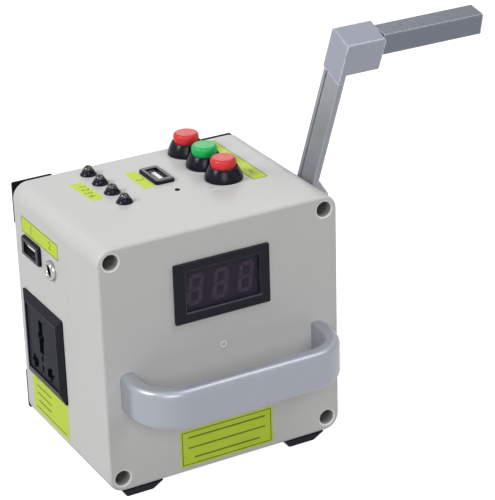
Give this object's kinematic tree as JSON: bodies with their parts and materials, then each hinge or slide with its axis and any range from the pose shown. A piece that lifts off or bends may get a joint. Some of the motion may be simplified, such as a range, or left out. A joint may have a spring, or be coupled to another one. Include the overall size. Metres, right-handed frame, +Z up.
{
  "type": "hand crank generator",
  "caption": "Small grey box generator with a side hand crank, carry handle, digital meter, mains socket, charging sockets, lamps and push buttons.",
  "frame": {"origin": "on the surface that the feet stand on, under the middle of the whole object's outer box, with the crank in its stored place", "axes": "+X to the crank side, +Y from the front with its handle and meter to the back, +Z up"},
  "size_m": [0.2018, 0.1254, 0.1998],
  "materials": {
    "shell_plastic": "fine grain ABS, light grey",
    "black_rubber": "soft",
    "zinc_steel": "zinc plated",
    "satin_aluminium": "satin",
    "black_plastic": "smooth black",
    "dark_acrylic": "polished, dark tint",
    "display_block": "dark",
    "unlit_segment": "unlit",
    "circuit_board": "solder mask",
    "socket_plastic": "dark, slightly glossy",
    "contact_brass": "plain",
    "plated_shell": "nickel",
    "white_plastic": "white",
    "lamp_lens": "smoked clear",
    "spring_steel": "spring wire",
    "yellow_label": "printed film",
    "bearing_brass": "turned",
    "copper_winding": "enamelled wire",
    "dark_component": "moulded",
    "cell_wrap": "shrink film",
    "grey_aluminium": "brushed",
    "nylon_gear": "natural nylon",
    "magnet_steel": "plated magnet",
    "red_cap": "satin",
    "green_cap": "satin"
  },
  "bodies": {
    "case": {"case_body": "shell_plastic", "front_cover": "shell_plastic", "cover_gasket": "black_rubber", "cover_screws": "zinc_steel", "bottom_feet": "black_rubber", "rear_feet": "black_rubber", "foot_screws": "zinc_steel", "carry_handle": "satin_aluminium", "handle_screws": "zinc_steel", "meter_bezel": "black_plastic", "meter_window": "dark_acrylic", "meter_display": "display_block", "meter_digits": "unlit_segment", "meter_board": "circuit_board", "socket_frame": "socket_plastic", "socket_face": "socket_plastic", "socket_contacts": "contact_brass", "usb_frames": "black_plastic", "usb_shells": "plated_shell", "usb_tongues": "white_plastic", "dc_jack_barrel": "plated_shell", "dc_jack_pin": "plated_shell", "dc_jack_nut": "plated_shell", "lamp_holders": "black_plastic", "lamps": "lamp_lens", "charge_lamp": "lamp_lens", "button_collars": "black_plastic", "button_nuts": "zinc_steel", "button_spring_front": "spring_steel", "button_spring_middle": "spring_steel", "button_spring_rear": "spring_steel", "labels": "yellow_label", "crank_bush": "bearing_brass", "idler_pins": "spring_steel", "frame_plate_outer": "zinc_steel", "frame_plate_inner": "zinc_steel", "frame_posts": "zinc_steel", "generator_can": "zinc_steel", "generator_coils": "copper_winding", "main_board": "circuit_board", "board_parts": "dark_component", "battery_pack": "cell_wrap"},
    "crank": {"crank_shaft": "spring_steel", "crank_spacer": "zinc_steel", "crank_arm": "grey_aluminium", "crank_hub": "grey_aluminium", "crank_elbow": "satin_aluminium", "crank_screw": "zinc_steel", "grip_pin": "zinc_steel", "grip_washer": "zinc_steel", "crank_gear": "nylon_gear"},
    "grip": {"crank_grip": "grey_aluminium"},
    "first_idler": {"idler_a": "nylon_gear"},
    "second_idler": {"idler_b": "nylon_gear"},
    "rotor": {"generator_rotor": "magnet_steel", "generator_pinion": "nylon_gear"},
    "button_front": {"button_cap_front": "red_cap"},
    "button_middle": {"button_cap_middle": "green_cap"},
    "button_rear": {"button_cap_rear": "red_cap"}
  },
  "joints": [
    {"name": "crank_spin", "type": "hinge", "parent": "case", "child": "crank", "pos_m": [-0.0387, 0.01125, 0.1043], "axis": [1, 0, 0], "continuous": true},
    {"name": "grip_spin", "type": "hinge", "parent": "crank", "child": "grip", "pos_m": [0.0473, -0.02571, 0.19138], "axis": [1, 0, 0], "continuous": true},
    {"name": "first_idler_spin", "type": "hinge", "parent": "case", "child": "first_idler", "pos_m": [-0.0387, 0.01524, 0.08552], "axis": [1, 0, 0], "continuous": true},
    {"name": "second_idler_spin", "type": "hinge", "parent": "case", "child": "second_idler", "pos_m": [-0.0387, 0.01923, 0.06674], "axis": [1, 0, 0], "continuous": true},
    {"name": "rotor_spin", "type": "hinge", "parent": "case", "child": "rotor", "pos_m": [-0.0387, 0.02517, 0.04848], "axis": [1, 0, 0], "continuous": true},
    {"name": "press_front", "type": "slide", "parent": "case", "child": "button_front", "axis": [0, 0, -1], "range_m": [0, 0.0025], "stiffness_N_per_m": 200, "springref_m": -0.004, "deforming": ["button_spring_front"]},
    {"name": "press_middle", "type": "slide", "parent": "case", "child": "button_middle", "axis": [0, 0, -1], "range_m": [0, 0.0025], "stiffness_N_per_m": 200, "springref_m": -0.004, "deforming": ["button_spring_middle"]},
    {"name": "press_rear", "type": "slide", "parent": "case", "child": "button_rear", "axis": [0, 0, -1], "range_m": [0, 0.0025], "stiffness_N_per_m": 200, "springref_m": -0.004, "deforming": ["button_spring_rear"]}
  ],
  "couplings": [
    {"joint": "first_idler_spin", "follows": "crank_spin", "ratio": -3},
    {"joint": "second_idler_spin", "follows": "crank_spin", "ratio": 9},
    {"joint": "rotor_spin", "follows": "crank_spin", "ratio": -27}
  ]
}
